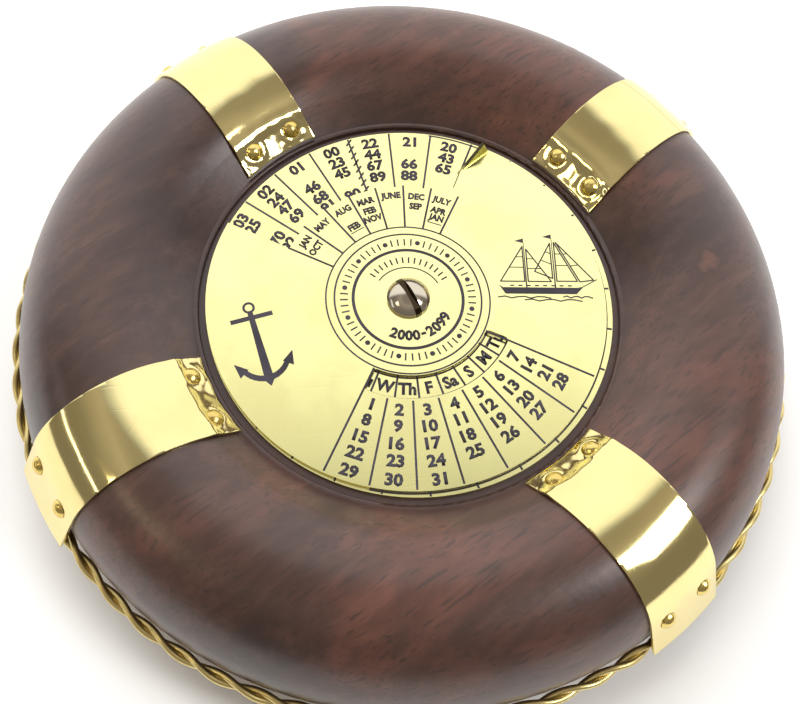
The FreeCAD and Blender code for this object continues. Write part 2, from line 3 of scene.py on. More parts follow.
import bmesh
import bpy
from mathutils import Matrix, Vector


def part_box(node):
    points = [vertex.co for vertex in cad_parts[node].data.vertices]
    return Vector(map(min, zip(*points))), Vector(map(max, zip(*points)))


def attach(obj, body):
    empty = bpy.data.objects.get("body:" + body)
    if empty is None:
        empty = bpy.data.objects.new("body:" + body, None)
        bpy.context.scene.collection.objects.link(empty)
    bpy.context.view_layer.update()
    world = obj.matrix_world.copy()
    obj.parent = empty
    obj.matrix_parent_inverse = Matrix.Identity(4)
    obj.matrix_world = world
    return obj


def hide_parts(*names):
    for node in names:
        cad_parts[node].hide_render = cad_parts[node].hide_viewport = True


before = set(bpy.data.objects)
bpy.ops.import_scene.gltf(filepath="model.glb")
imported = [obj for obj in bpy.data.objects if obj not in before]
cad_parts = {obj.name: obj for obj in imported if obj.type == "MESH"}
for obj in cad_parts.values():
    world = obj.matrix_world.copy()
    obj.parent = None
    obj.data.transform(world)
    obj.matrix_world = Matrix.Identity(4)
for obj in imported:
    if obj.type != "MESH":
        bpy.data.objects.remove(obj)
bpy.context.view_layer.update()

bl_info = {
    "name": "Perpetual desk calendar",
    "version": (1, 0, 0),
    "blender": (4, 5, 0),
    "location": "3D View > Sidebar > Calendar",
    "description": "Finishes a brass dial calendar in a turned wooden ring",
    "category": "Object",
}

MM = 0.001

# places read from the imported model, in metres
RING_LOW, RING_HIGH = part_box("wood_ring")
REAR_LOW, REAR_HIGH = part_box("rear_dial")
SPACER_LOW, SPACER_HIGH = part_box("spacer_washer")
ROPE_LOW, ROPE_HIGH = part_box("wire_rope")
DIAL_SHEET = REAR_HIGH.z - REAR_LOW.z
REAR_TOP = REAR_HIGH.z
FRONT_TOP = SPACER_HIGH.z + DIAL_SHEET
PIVOT = (SPACER_LOW + SPACER_HIGH) / 2

# the driver slot's direction, and how far from its middle its painted shade starts to fade and ends
DRIVER_SLOT_ANGLE = 128.0
SLOT_SHADE_FULL = 0.62 * MM
SLOT_SHADE_EDGE = 0.72 * MM

# the ring's round section
TUBE_RADIUS = 17.1 * MM
TUBE_HEIGHT = RING_HIGH.z - TUBE_RADIUS
RING_RADIUS = RING_HIGH.x - TUBE_RADIUS

# a knot on the right of the ring, on top of its round section, and how far it reaches and wanders
KNOT_PLACE = Vector((54.0, 14.2, 31.0)) * MM
KNOT_CORE = 2.2 * MM
KNOT_RIM = 6.4 * MM
KNOT_WANDER = 5.0 * MM

# radii between which the painted shade thickens, towards the recess
RECESS_SHADE_OUTER = 43.0 * MM
RECESS_SHADE_INNER = 40.2 * MM

# how the materials' patterns run, in degrees and times their own size, and where the tab's painted shade
# starts and ends
GRAIN_ANGLE = 46.0
GRAIN_STRETCH = 4.0
PORE_SQUEEZE = 0.35
SCRATCH_ANGLES = (17.0, 74.0, 131.0)
SCRATCH_STRETCH = 22.0
STAIN_TONE = (0.86, 0.80, 0.70)
TAB_SHADE_FROM = 0.05 * MM
TAB_SHADE_TO = 0.6 * MM

# strap sides, and their directions from the middle of the ring
STRAP_SIDES = {"nw": 138.4, "ne": 50.0, "sw": 219.0, "se": 319.0}
STRAP_GAP = 0.15 * MM
STRAP_LIP_ANGLE = 25.0
STRAP_CREASE_ANGLE = 130.0
STRAP_LIP = 9.8 * MM
STRAP_INNER = 6.0 * MM
PIN_HALF_PITCH = 4.5 * MM
INNER_PIN_DISTANCE = 2.7 * MM
OUTER_PIN_DISTANCE = 1.6 * MM
STRAP_EDGE = 0.12 * MM

# how finely the straps and the rope's wires are divided
ARC_CORNERS = 288
STRAP_SPACING = 0.45 * MM
STRAP_STEPS = 48
WIRE_SIDES = 12
STEPS_PER_TWIST = 14

# how the sheet is beaten: heights over the smooth sheet, and how far each form reaches
RIDGE_RISE = 0.34 * MM
RIDGE_REACH = 0.8 * MM
SWELL_RISE = 0.38 * MM
SWELL_MIDDLE = 0.40
SWELL_START = 1.2 * MM
SWELL_REACH = 2.0 * MM
DIMPLE_DEPTH = 0.1 * MM
DIMPLE_REACH = 1.5 * MM
RIM_RISE = 0.13 * MM
RIM_RADIUS = 2.1 * MM
RIM_REACH = 0.45 * MM
WAVE_DEPTH = 0.12 * MM

# the dials are divided into 28 columns; radii in millimetres, angles in degrees
COLUMNS = 28
PITCH = 360.0 / COLUMNS
MONTH_START = 75.0
DATE_START = 255.0
REAR_START = 117.14
MONTH_ROWS = (22.75, 20.5, 18.6)
DATE_ROWS = (22.75, 25.9, 29.25, 32.5, 36.0)
YEAR_ROWS = (36.3, 33.6, 30.95, 28.15, 25.55)
WEEKDAY_ROW = 18.25

# circles, dots and ticks round the screw, each circle by its radius and width, each tick by its ends
HUB_CIRCLES = ((10.45, 0.6), (13.98, 0.34), (15.6, 0.3))
HUB_DOT_PLACE = 12.2
HUB_DOT_RADIUS = 0.5
HUB_TICK = (11.45, 12.95)
HUB_TICK_WIDTH = 0.3
HUB_TICKS = 60
TICKS_PER_DOT = 5
FAN_TICK = (7.6, 8.9)
FAN_TICK_WIDTH = 0.32
FAN_TICKS = 15
FAN_START = 42.0
FAN_PITCH = 8.0
FAN_ARC = (6.5, 6.75, 40, 156)
YEAR_RANGE_RADIUS = 7.8
YEAR_RANGE_HEIGHT = 2.0
YEAR_RANGE_MIDDLE = -60.0
YEAR_RANGE_PITCH = 10.4

# lines on the rear dial, and the small ticks along one of them
YEAR_LINE_START = 24.3
YEAR_LINE_MARGIN = 0.12
WEEKDAY_LINE = (15.6, 21.0)
WEEKDAY_CIRCLES = (16.15, 20.3)
WEEKDAY_CIRCLE_WIDTH = 0.32
# the rim line on the right half of the rear dial is print and also painted shadow along the front dial's
# edge
RIM_LINE_AND_EDGE_SHADOW = (38.05, 38.38, -92, 92)
EDGE_TICKS = 8
EDGE_TICK_START = 25.8
EDGE_TICK_PITCH = 1.65
EDGE_TICK_LENGTH = 1.9
EDGE_TICK_TURN = -48.0

# lines on the front dial, by their ends
MONTH_LINE = (15.7, 25.2)
LEAP_MARK_RADIUS = 17.45
LEAP_MARK_LENGTH = 2.9
LEAP_MARK_WIDTH = 0.22
DATE_LINE_START = 20.9
DATE_EDGE_START = 15.9
DATE_LINE_END = 37.7

# the calendar: each month with its row, column by column
DAYS_IN_WEEK = 7
DAYS_IN_MONTH = 31
MONTH_COLUMNS = (
    (("JULY", 0), ("APR", 1), ("JAN", 2)),
    (("DEC", 0), ("SEP", 1)),
    (("JUNE", 0),),
    (("MAR", 0), ("FEB", 1), ("NOV", 2)),
    (("AUG", 0), ("FEB", 2)),
    (("MAY", 0),),
    (("JAN", 0), ("OCT", 1)),
)
LEAP_MONTH_COLUMNS = (0, 4)
WEEKDAYS = ("S", "M", "Tu", "W", "Th", "F", "Sa")
SATURDAY = 6

# the typeface's capitals over its size, the print's thickness over its height, and hairs between shapes
CAPITAL_SHARE = 0.72
PRINT_SHARE = 1.5
HAIR = 0.0005
HAIR_LEVELS = 9

# where the anchor and the boat lie on the front dial, and their turns
ANCHOR_PLACE = (-29.1, -7.5, 0)
ANCHOR_TURN = 26.5
BOAT_PLACE = (24.6, 9.6, 0)
BOAT_TURN = 10.0

# the room: its upright ramp of greys, and one bright wall
FLOOR_SIZE = 3.0
FLOOR_DROP = 0.02 * MM
ROOM_TONE = Vector((1.08, 0.97, 0.86))
ROOM_GREYS = ((0.0, 0.17), (0.45, 0.17), (0.65, 0.20), (0.86, 0.34), (0.93, 0.25), (1.0, 0.22))
BRIGHT_WALL_ANGLE = 98
BRIGHT_WALL_GREYS = ((0.0, 0.0), (0.18, 0.0), (0.25, 0.16), (0.32, 0.48), (0.39, 0.9), (0.46, 1.0))
ROOM_STRENGTH = 1.35

# each lamp's place, width and depth in metres, its watts, and a colour or no reflection where it has one
LAMPS = {
    "window_right": ((0.54, -0.06, 0.59), 0.26, 0.30, 2.2),
    "window_left": ((-0.90, -0.24, 0.36), 0.50, 0.03, 0.2),
    "lamp_front": ((-0.62, -0.33, 0.64), 0.20, 0.14, 0.5, (1.0, 0.84, 0.52)),
    "fill_overhead": ((-0.50, 0.60, 0.95), 1.2, 1.2, 12.0, (1, 1, 1), False),
}

# the photograph's camera: its place, its turn in degrees, its lens and sensor in millimetres
CAMERA_PLACE = Vector((-1.05, -95.95, 206.2)) * MM
CAMERA_TURN = (24.558, -4.052, 8.489)
CAMERA_LENS = 48.99
CAMERA_SENSOR = 36.0


def settings():
    return bpy.context.scene.calendar_sizes


def colours():
    return bpy.context.scene.calendar_colours


class CalendarSizes(bpy.types.PropertyGroup):
    """Sizes that a maker would change"""

    strap_width: bpy.props.FloatProperty(
        name="Strap width", description="Width of each brass strap",
        default=16.3 * MM, unit="LENGTH")
    strap_sheet: bpy.props.FloatProperty(
        name="Strap sheet", description="Thickness of the strap's brass sheet",
        default=0.55 * MM, unit="LENGTH")
    strand_radius: bpy.props.FloatProperty(
        name="Strand radius", description="Radius of each of the rope's two wires",
        default=0.64 * MM, unit="LENGTH")
    rope_turns: bpy.props.IntProperty(
        name="Rope turns", description="Twists of the two wires round the whole ring", default=31)
    inlay_height: bpy.props.FloatProperty(
        name="Print height", description="How far the black print stands above the brass",
        default=0.02 * MM, unit="LENGTH")
    line_width: bpy.props.FloatProperty(
        name="Line width", description="Width of the printed lines, in millimetres", default=0.4)
    date_height: bpy.props.FloatProperty(
        name="Date height", description="Height of the date numbers, in millimetres", default=2.2)
    year_height: bpy.props.FloatProperty(
        name="Year height", description="Height of the year numbers, in millimetres", default=2.2)
    month_height: bpy.props.FloatProperty(
        name="Month height", description="Height of the month names, in millimetres", default=1.36)
    weekday_height: bpy.props.FloatProperty(
        name="Weekday height", description="Height of the weekday names, in millimetres", default=2.3)


def colour_property(name, description, default):
    return bpy.props.FloatVectorProperty(
        name=name, description=description, default=default, subtype="COLOR", size=3, min=0, max=1)


class CalendarColours(bpy.types.PropertyGroup):
    """Colours that a maker would change"""

    wood_dark: colour_property("Dark wood", "The wood's darkest figure", (0.038, 0.020, 0.016))
    wood_brown: colour_property("Brown wood", "The wood's main colour", (0.068, 0.030, 0.022))
    wood_red: colour_property("Red wood", "The wood's warm patches", (0.112, 0.042, 0.027))
    dial_brass: colour_property("Dial brass", "Pale lacquered brass", (0.99, 0.935, 0.43))
    strap_brass: colour_property("Strap brass", "Polished brass", (0.88, 0.76, 0.36))
    pin_brass: colour_property("Pin brass", "Brass of pins and nut", (0.84, 0.66, 0.22))
    rope_brass: colour_property("Rope brass", "Brass wire", (0.74, 0.61, 0.27))
    screw_metal: colour_property("Screw metal", "Worn plating of the screw", (0.60, 0.54, 0.43))
    ink: colour_property("Print", "The black filling of the print", (0.022, 0.018, 0.026))
    felt: colour_property("Felt", "The pad under the ring", (0.035, 0.06, 0.04))
    floor: colour_property("Floor", "The table under the object", (0.985, 0.985, 0.98))


def let_go():
    """Object mode, with nothing selected."""
    if bpy.context.mode != "OBJECT":
        bpy.ops.object.mode_set(mode="OBJECT")
    bpy.ops.object.select_all(action="DESELECT")


def pick(*pieces):
    let_go()
    for piece in pieces:
        piece.select_set(True)
    bpy.context.view_layer.objects.active = pieces[0]


def edit_where(piece, chosen):
    """Edit mode, with the vertices selected whose places satisfy chosen."""
    pick(piece)
    bpy.ops.object.mode_set(mode="EDIT")
    bpy.ops.mesh.select_mode(type="VERT")
    bpy.ops.mesh.select_all(action="DESELECT")
    mesh = bmesh.from_edit_mesh(piece.data)
    for vertex in mesh.verts:
        vertex.select = chosen(vertex.co)
    mesh.select_flush_mode()
    bmesh.update_edit_mesh(piece.data)


def edit_all(piece):
    edit_where(piece, lambda place: True)


def modify(piece, kind, **values):
    """Adds a modifier, sets it up and applies it."""
    pick(piece)
    modifier = piece.modifiers.new(kind.title(), kind)
    for key, value in values.items():
        setattr(modifier, key, value)
    bpy.ops.object.modifier_apply(modifier=modifier.name)


def join(pieces, name):
    pick(*pieces)
    if len(pieces) > 1:
        bpy.ops.object.join()
    whole = bpy.context.object
    whole.name = name
    whole.data.name = name
    return whole


def settle(piece):
    """Puts the piece's place, turn and scale into its mesh."""
    pick(piece)
    bpy.ops.object.transform_apply(location=True, rotation=True, scale=True)


def face_out(piece, merge):
    """Merges doubles closer than this, then turns the faces outwards."""
    edit_all(piece)
    bpy.ops.mesh.remove_doubles(threshold=merge)
    bpy.ops.mesh.normals_make_consistent(inside=False)
    bpy.ops.object.mode_set(mode="OBJECT")


def smooth(piece, degrees):
    pick(piece)
    bpy.ops.object.shade_smooth_by_angle(angle=math.radians(degrees))


def finish_with(piece, material, body):
    piece.data.materials.clear()
    piece.data.materials.append(material)
    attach(piece, body)


def polar(radius, degrees, height=0.0):
    turn = math.radians(degrees)
    return Vector((radius * math.cos(turn), radius * math.sin(turn), height))


# flat shapes for the print, drawn in millimetres about the pivot


def single_edge(start, end):
    """A plane cut down to one edge, laid between two places."""
    bpy.ops.mesh.primitive_plane_add(size=1)
    edge = bpy.context.object
    edit_where(edge, lambda place: place.y > 0)
    bpy.ops.mesh.delete(type="VERT")
    bpy.ops.object.mode_set(mode="OBJECT")
    edge.data.vertices[0].co = start
    edge.data.vertices[1].co = end
    return edge


def spin_about_z(piece, degrees, steps):
    """Sweeps the whole piece counter-clockwise about the upright axis; the tool's own turn is clockwise."""
    edit_all(piece)
    bpy.ops.mesh.spin(steps=steps, angle=math.radians(-degrees), center=(0, 0, 0), axis=(0, 0, 1))
    bpy.ops.object.mode_set(mode="OBJECT")


def arc_band(inner, outer, start, end, steps):
    """A flat band along an arc, between two radii."""
    band = single_edge(polar(inner, start), polar(outer, start))
    spin_about_z(band, end - start, steps)
    if abs(end - start) >= 360:
        face_out(band, 1e-4)
    return band


def circle(radius, width, steps):
    return arc_band(radius - width / 2, radius + width / 2, 0, 360, steps)


def flat_shape(places):
    """A flat face with these corners, counter-clockwise."""
    bpy.ops.mesh.primitive_circle_add(vertices=len(places), radius=1, fill_type="NGON")
    shape = bpy.context.object
    for vertex, place in zip(shape.data.vertices, places):
        vertex.co = (place[0], place[1], 0)
    return shape


def strip(start, end, width, end_width=None):
    """A straight printed stroke, which may taper."""
    start, end = Vector(start).to_3d(), Vector(end).to_3d()
    side = (end - start).normalized().cross(Vector((0, 0, 1)))
    near = side * width / 2
    far = side * (width if end_width is None else end_width) / 2
    return flat_shape([start + near, end + far, end - far, start - near])


def ray(start, end, azimuth, width):
    """A stroke that points away from the pivot, between two radii."""
    return strip(polar(start, azimuth), polar(end, azimuth), width)


def stroke(places, width):
    """A chain of straight strokes with dots at its bends."""
    parts = [strip(a, b, width) for a, b in zip(places, places[1:])]
    parts += [dot(place, width / 2) for place in places]
    return parts


def dot(place, radius, corners=10):
    return flat_shape([Vector(place).to_3d() + polar(radius, 360 * i / corners) for i in range(corners)])


def labels(entries, weight, wide=1.08):
    """Flat words and numbers; each entry is text, height, place and turn in degrees."""
    words = []
    let_go()
    for text, height, _, _ in entries:
        bpy.ops.object.text_add()
        word = bpy.context.object
        word.data.body = text
        word.data.size = height / CAPITAL_SHARE
        word.data.offset = weight * height
        word.data.resolution_u = 2
        words.append(word)
    pick(*words)
    bpy.ops.object.convert(target="MESH")
    bpy.ops.object.origin_set(type="ORIGIN_GEOMETRY", center="BOUNDS")
    for word, (_, _, place, turn) in zip(words, entries):
        word.location = place
        word.rotation_euler = (0, 0, math.radians(turn))
        word.scale = (wide, 1, 1)
    bpy.ops.object.transform_apply(location=True, rotation=True, scale=True)
    return words


def stack(parts):
    """Lifts each flat shape by hairs, so that overlapping neighbours don't share a height."""
    for index, part in enumerate(parts):
        part.location.z += HAIR * (index % HAIR_LEVELS)
    return parts


def join_flat(parts, name):
    """One flat shape from many."""
    shape = join(stack(parts), name)
    settle(shape)
    return shape


def lay_print(parts, name, body, surface):
    """Joins flat shapes into one inlay and lays it on a dial."""
    inlay = join_flat(parts, name)
    modify(inlay, "SOLIDIFY", thickness=PRINT_SHARE * settings().inlay_height / MM, offset=-1)
    inlay.scale = (MM, MM, MM)
    inlay.location = (PIVOT.x, PIVOT.y, surface + settings().inlay_height)
    settle(inlay)
    finish_with(inlay, ink(), body)


def lay_turned(parts, name, degrees, place):
    """Turns and places an ornament that is drawn upright, and lays it on the front dial."""
    shape = join_flat(parts, name + "_shape")
    shape.rotation_euler = (0, 0, math.radians(degrees))
    shape.location = place
    settle(shape)
    lay_print([shape], name, "dial", FRONT_TOP)


# shader helpers

# a Mix node's colour sockets share their names with its other sockets, so they are known by their order
MIX_FACTOR = 0
MIX_FIRST = 6
MIX_SECOND = 7
MIX_RESULT = 2


def feed(tree, made, sources):
    """Feeds a node's sockets, known by name or order, from another node's output or with a plain value."""
    for key, source in sources.items():
        socket = made.inputs[key]
        if isinstance(source, bpy.types.NodeSocket):
            tree.links.new(source, socket)
        elif socket.type == "RGBA":
            socket.default_value = (*source, 1)
        else:
            socket.default_value = source


def node(tree, kind, sources=None, **properties):
    made = tree.nodes.new(kind)
    for name, value in properties.items():
        setattr(made, name, value)
    feed(tree, made, sources or {})
    return made


def maths(tree, operation, *terms):
    return node(tree, "ShaderNodeMath", dict(enumerate(terms)), operation=operation).outputs[0]


def vector_maths(tree, operation, result, *terms):
    made = node(tree, "ShaderNodeVectorMath", dict(enumerate(terms)), operation=operation)
    return made.outputs[result]


def mix_colour(tree, factor, first, second, blend="MIX"):
    sources = {MIX_FACTOR: factor, MIX_FIRST: first, MIX_SECOND: second}
    return node(tree, "ShaderNodeMix", sources, data_type="RGBA", blend_type=blend).outputs[MIX_RESULT]


def ramp(tree, factor, *stops):
    """A colour ramp; each stop is a position and a colour or a grey."""
    made = node(tree, "ShaderNodeValToRGB", {"Fac": factor})
    band = made.color_ramp
    while len(band.elements) < len(stops):
        band.elements.new(0.5)
    for element, (position, colour) in zip(band.elements, stops):
        element.position = position
        grey = isinstance(colour, (int, float))
        element.color = (colour, colour, colour, 1) if grey else (*colour, 1)
    return made.outputs["Color"]


def rising(tree, value, low, high):
    """A mask that goes from zero where the value is low to one where it is high."""
    sources = {"Value": value, "From Min": low, "From Max": high}
    return node(tree, "ShaderNodeMapRange", sources).outputs[0]


def noise(tree, place, scale, detail, roughness=0.5, distortion=0.0):
    sources = {"Vector": place, "Scale": scale, "Detail": detail, "Roughness": roughness,
               "Distortion": distortion}
    return node(tree, "ShaderNodeTexNoise", sources).outputs["Fac"]


def bump(tree, height, strength, distance, under=None, invert=False):
    """A relief, which may lie on top of another one."""
    sources = {"Height": height, "Strength": strength, "Distance": distance}
    if under:
        sources["Normal"] = under
    return node(tree, "ShaderNodeBump", sources, invert=invert).outputs[0]


def turned(tree, place, degrees, stretch=(1, 1, 1), about=(0, 0, 0)):
    """Places for a pattern that is stretched and then turned about an upright axis."""
    sources = {"Vector": place, "Location": about, "Rotation": (0, 0, math.radians(degrees)),
               "Scale": stretch}
    return node(tree, "ShaderNodeMapping", sources, vector_type="TEXTURE").outputs[0]


def measure(tree, place, axis):
    """One of a place's three coordinates."""
    return node(tree, "ShaderNodeSeparateXYZ", {"Vector": place}).outputs[axis]


def object_places(tree):
    return node(tree, "ShaderNodeTexCoord").outputs["Object"]


def times(share, colour):
    return [share * part for part in colour]


# shared shader groups


def new_group(name, numbers, results):
    """A group that takes a place and these numbers, and gives these results."""
    group = bpy.data.node_groups.new(name, "ShaderNodeTree")
    group.interface.new_socket("Vector", in_out="INPUT", socket_type="NodeSocketVector")
    for label in numbers:
        group.interface.new_socket(label, in_out="INPUT", socket_type="NodeSocketFloat")
    for label in results:
        group.interface.new_socket(label, in_out="OUTPUT", socket_type="NodeSocketFloat")
    return group, group.nodes.new("NodeGroupInput"), group.nodes.new("NodeGroupOutput")


def handling_marks():
    """Fine scratches and smudges: a scratch height and a smudge mask."""
    existing = bpy.data.node_groups.get("handling_marks")
    if existing:
        return existing
    group, given, out = new_group("handling_marks", ("Fineness",), ("Scratches", "Smudges"))
    place = given.outputs["Vector"]
    scratches = 0.0
    for degrees in SCRATCH_ANGLES:
        stretched = turned(group, place, degrees, (SCRATCH_STRETCH, 1, 1))
        lines = noise(group, stretched, given.outputs["Fineness"], 1.0)
        sharp = ramp(group, lines, (0.0, 0.0), (0.66, 0.0), (0.72, 1.0))
        scratches = maths(group, "MAXIMUM", scratches, sharp)
    cloud = noise(group, place, 60.0, 5.0, 0.6)
    smudges = ramp(group, cloud, (0.42, 0.0), (0.62, 1.0))
    feed(group, out, {"Scratches": scratches, "Smudges": smudges})
    return group


def wood_figure():
    """The wood's figure: broad patches, long streaks and short dark pores."""
    group, given, out = new_group("wood_figure", (), ("Patches", "Streaks", "Pores"))
    place = given.outputs["Vector"]
    grain = turned(group, place, GRAIN_ANGLE, (GRAIN_STRETCH, 1, 1))
    drawn_out = node(group, "ShaderNodeMapping", {"Vector": grain, "Scale": (PORE_SQUEEZE, 1, 1)})
    specks = noise(group, drawn_out.outputs[0], 1500.0, 2.0)
    feed(group, out, {
        "Patches": noise(group, place, 21.0, 7.0, 0.6, 0.9),
        "Streaks": noise(group, grain, 300.0, 4.0, 0.6, 0.3),
        "Pores": ramp(group, specks, (0.56, 0.0), (0.67, 1.0)),
    })
    return group


def placed_marks(tree, place, fineness):
    sources = {"Vector": place, "Fineness": fineness}
    return node(tree, "ShaderNodeGroup", sources, node_tree=handling_marks()).outputs


# materials


def new_material(name):
    """A material with only its Principled shader and output."""
    material = bpy.data.materials.new(name)
    material.use_nodes = True
    tree = material.node_tree
    return material, tree, tree.nodes["Principled BSDF"]


def known(name):
    return bpy.data.materials.get(name)


def hardwood():
    """Varnished wood with one knot, and painted shade at the foot of the ring's inner flank."""
    if known("varnished_hardwood"):
        return known("varnished_hardwood")
    material, tree, shader = new_material("varnished_hardwood")
    paint = colours()
    place = object_places(tree)
    figure = node(tree, "ShaderNodeGroup", {"Vector": place}, node_tree=wood_figure()).outputs
    base = ramp(tree, figure["Patches"],
                (0.34, paint.wood_dark), (0.50, paint.wood_brown), (0.68, paint.wood_red))
    shade = ramp(tree, figure["Streaks"], (0.36, 0.55), (0.52, 1.0), (0.66, 1.55))
    streaked = mix_colour(tree, 0.5, base, shade, "MULTIPLY")
    pored = mix_colour(tree, maths(tree, "MULTIPLY", figure["Pores"], 0.72), streaked, paint.wood_dark)
    # painted shade: the wood is darkened towards the recess round the dials
    recess_shaded = mix_colour(tree, painted_recess_shade(tree, place), pored, times(0.9, paint.wood_dark))
    ripple = noise(tree, place, 420.0, 3.0, 0.55)
    height = maths(tree, "MULTIPLY_ADD", figure["Streaks"], 0.35, ripple)
    feed(tree, shader, {
        "Base Color": with_knot(tree, place, recess_shaded),
        "Roughness": ramp(tree, figure["Patches"], (0.3, 0.30), (0.7, 0.46)),
        "Coat Weight": 0.38,
        "Coat Roughness": 0.26,
        "Normal": bump(tree, height, 0.28, 0.2 * MM),
    })
    return material


def with_knot(tree, place, clean):
    """Lays a small red-brown knot, darker towards its rim, over the wood's colour."""
    away = vector_maths(tree, "DISTANCE", "Value", place, KNOT_PLACE)
    wandering = maths(tree, "MULTIPLY_ADD", noise(tree, place, 380.0, 3.0), KNOT_WANDER, away)
    outward = rising(tree, wandering, KNOT_CORE, KNOT_RIM)
    tone = ramp(tree, outward,
                (0.0, (0.13, 0.058, 0.034)), (0.34, (0.115, 0.050, 0.032)), (0.6, (0.05, 0.023, 0.017)))
    mask = ramp(tree, outward, (0.0, 0.8), (0.5, 0.7), (1.0, 0.0))
    return mix_colour(tree, mask, clean, tone)


def painted_recess_shade(tree, place):
    """An uneven mask of painted shade that rises from the foot of the ring's flank to the wall of the
    recess.
    """
    across = vector_maths(tree, "MULTIPLY", "Vector", place, (1, 1, 0))
    radius = vector_maths(tree, "LENGTH", "Value", across)
    uneven = maths(tree, "MULTIPLY_ADD", noise(tree, place, 120.0, 4.0), 0.7, 0.3)
    return maths(tree, "MULTIPLY", rising(tree, radius, RECESS_SHADE_OUTER, RECESS_SHADE_INNER), uneven)


def brass(name, colour, roughness, scratch_depth, fineness, stain, beaten=0.0):
    """Polished brass with handling marks and, where beaten, lumps this high; stain darkens it in smudges."""
    if known(name):
        return known(name)
    material, tree, shader = new_material(name)
    place = object_places(tree)
    marks = placed_marks(tree, place, fineness)
    stained = [part * share for part, share in zip(colour, STAIN_TONE)]
    relief = bump(tree, marks["Scratches"], 0.3, scratch_depth, invert=True)
    if beaten:
        relief = bump(tree, noise(tree, place, 850.0, 1.0), 1.0, beaten, relief)
    feed(tree, shader, {
        "Base Color": mix_colour(tree, maths(tree, "MULTIPLY", marks["Smudges"], stain), colour, stained),
        "Metallic": 1.0,
        "Roughness": ramp(tree, marks["Smudges"], (0.0, roughness), (1.0, roughness * 1.5)),
        "Normal": relief,
    })
    return material


def tint(material, mask, colour):
    """Lays a darker tone over the base colour where the mask is one."""
    tree = material.node_tree
    base = tree.nodes["Principled BSDF"].inputs["Base Color"]
    clean = base.links[0].from_socket
    tree.links.new(mix_colour(tree, mask, clean, colour), base)


def dial_brass():
    """Lacquered brass; the tab bent up out of the sheet gets painted shade, a darker colour and a weaker
    reflection.
    """
    if known("lacquered_dial_brass"):
        return known("lacquered_dial_brass")
    material = brass("lacquered_dial_brass", colours().dial_brass, roughness=0.19,
                     scratch_depth=0.004 * MM, fineness=1500.0, stain=0.2)
    tree = material.node_tree
    height = measure(tree, object_places(tree), "Z")
    # painted shade: the raised tab is darkened and its reflection dulled
    raised = rising(tree, height, FRONT_TOP + TAB_SHADE_FROM, FRONT_TOP + TAB_SHADE_TO)
    tint(material, raised, (0.17, 0.16, 0.09))
    dulled = mix_colour(tree, raised, (1, 1, 1), (0.22, 0.21, 0.15))
    feed(tree, tree.nodes["Principled BSDF"], {"Specular Tint": dulled})
    return material


def strap_brass():
    return brass("polished_strap_brass", colours().strap_brass, roughness=0.075,
                 scratch_depth=0.006 * MM, fineness=1100.0, stain=0.35)


def pin_brass():
    return brass("pressed_pin_brass", colours().pin_brass, roughness=0.20,
                 scratch_depth=0.01 * MM, fineness=2200.0, stain=0.8, beaten=0.16 * MM)


def rope_brass():
    return brass("twisted_wire_brass", colours().rope_brass, roughness=0.26,
                 scratch_depth=0.01 * MM, fineness=2500.0, stain=0.7)


def screw_metal():
    """Worn plating, with painted shade in the driver slot."""
    if known("worn_screw_metal"):
        return known("worn_screw_metal")
    material = brass("worn_screw_metal", colours().screw_metal, roughness=0.13,
                     scratch_depth=0.01 * MM, fineness=2500.0, stain=0.8)
    tree = material.node_tree
    along_slot = turned(tree, object_places(tree), DRIVER_SLOT_ANGLE, about=(PIVOT.x, PIVOT.y, 0))
    across = maths(tree, "ABSOLUTE", measure(tree, along_slot, "Y"))
    # painted shade: the driver slot is darkened along its middle
    tint(material, rising(tree, across, SLOT_SHADE_EDGE, SLOT_SHADE_FULL), (0.05, 0.035, 0.02))
    return material


def ink():
    if known("etched_print"):
        return known("etched_print")
    material, tree, shader = new_material("etched_print")
    marks = placed_marks(tree, object_places(tree), 2500.0)
    toned = mix_colour(tree, marks["Smudges"], colours().ink, times(2.2, colours().ink))
    feed(tree, shader, {"Base Color": toned, "Roughness": 0.45})
    return material


def felt():
    if known("pad_felt"):
        return known("pad_felt")
    material, tree, shader = new_material("pad_felt")
    fibres = noise(tree, object_places(tree), 2600.0, 4.0, 0.7)
    feed(tree, shader, {
        "Base Color": mix_colour(tree, fibres, times(0.6, colours().felt), times(1.5, colours().felt)),
        "Roughness": 0.95,
        "Sheen Weight": 0.4,
        "Normal": bump(tree, fibres, 0.6, 0.2 * MM),
    })
    return material


def floor_paper():
    material, tree, shader = new_material("floor_paper")
    speckle = noise(tree, object_places(tree), 30.0, 3.0)
    toned = mix_colour(tree, speckle, colours().floor, times(0.98, colours().floor))
    feed(tree, shader, {"Base Color": toned, "Roughness": 0.9})
    return material


def finish_node(name, material):
    """A CAD node keeps its mesh and gets a new material."""
    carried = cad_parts[name]
    for slot in carried.material_slots:
        slot.material = material
    if not carried.material_slots:
        carried.data.materials.append(material)


# straps


